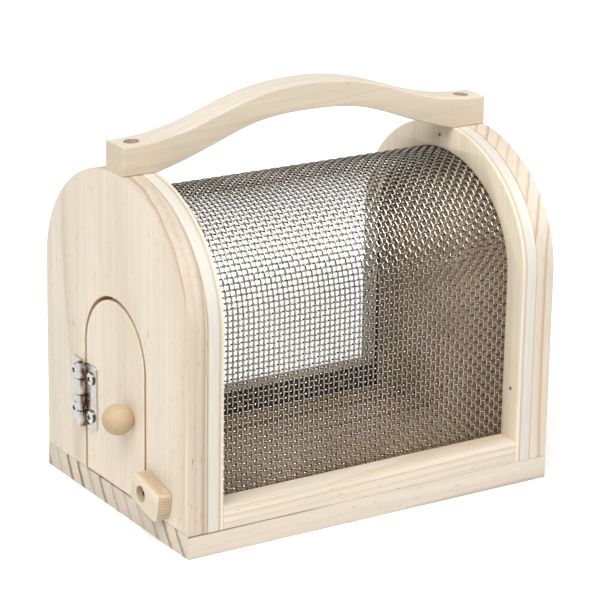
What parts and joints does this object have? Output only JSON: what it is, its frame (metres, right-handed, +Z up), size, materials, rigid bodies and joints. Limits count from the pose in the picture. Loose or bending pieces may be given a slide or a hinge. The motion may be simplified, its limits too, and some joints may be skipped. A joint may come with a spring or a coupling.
{
  "type": "insect observation box",
  "caption": "Pine carrying box with arched ends, a bent wire screen, a clear back sheet, a wooden handle and a small arched hinged door held by a turn button.",
  "frame": {"origin": "middle of the underside of the base board", "axes": "+X along the box, away from the door end; +Y towards the back with the clear sheet; +Z up"},
  "size_m": [0.2042, 0.13, 0.187],
  "materials": {
    "pine": "bare sanded pine, pale cream with fine grain",
    "plywood": "bare plywood with pale core and thin face veneers at its edge",
    "turned_wood": "sanded wood, a little darker than the pine",
    "steel": "bright nickel-plated steel",
    "screen_wire": "drawn steel wire, grey",
    "clear_plastic": "clear bent plastic sheet"
  },
  "bodies": {
    "root": {"base_board": "pine", "door_end_panel": "pine", "plain_end_panel": "pine", "base_screw_door_end_front": "steel", "base_screw_door_end_back": "steel", "base_screw_plain_end_front": "steel", "base_screw_plain_end_back": "steel", "door_end_frame": "plywood", "plain_end_frame": "plywood", "frame_brad_door_end_crown": "steel", "frame_brad_door_end_front_leg": "steel", "frame_brad_door_end_back_leg": "steel", "frame_brad_plain_end_crown": "steel", "frame_brad_plain_end_front_leg": "steel", "frame_brad_plain_end_back_leg": "steel", "wire_screen_front": "screen_wire", "wire_screen_bend_1": "screen_wire", "wire_screen_bend_2": "screen_wire", "wire_screen_bend_3": "screen_wire", "wire_screen_bend_4": "screen_wire", "clear_sheet": "clear_plastic", "sheet_pin_1": "steel", "sheet_pin_2": "steel", "sheet_pin_3": "steel", "screen_staple_1": "steel", "screen_staple_2": "steel", "screen_staple_3": "steel", "front_rail": "pine", "back_rail": "pine", "handle": "pine", "handle_screw_door_end": "steel", "handle_screw_plain_end": "steel", "hinge_frame_leaf": "steel", "hinge_pin": "steel", "hinge_frame_screw_1": "steel", "hinge_frame_screw_2": "steel", "latch_screw": "steel"},
    "door": {"door": "pine", "hinge_door_leaf": "steel", "hinge_door_screw_1": "steel", "hinge_door_screw_2": "steel", "knob_screw": "steel", "knob": "turned_wood"},
    "latch": {"latch_button": "turned_wood"}
  },
  "joints": [
    {"name": "door_swing", "type": "hinge", "parent": "root", "child": "door", "pos_m": [-0.098, 0.0273, 0.0472], "axis": [0, 0, -1], "range_deg": [0, 165]},
    {"name": "latch_turn", "type": "hinge", "parent": "root", "child": "latch", "pos_m": [-0.0955, -0.03624, 0.022], "axis": [1, 0, 0], "continuous": true}
  ]
}
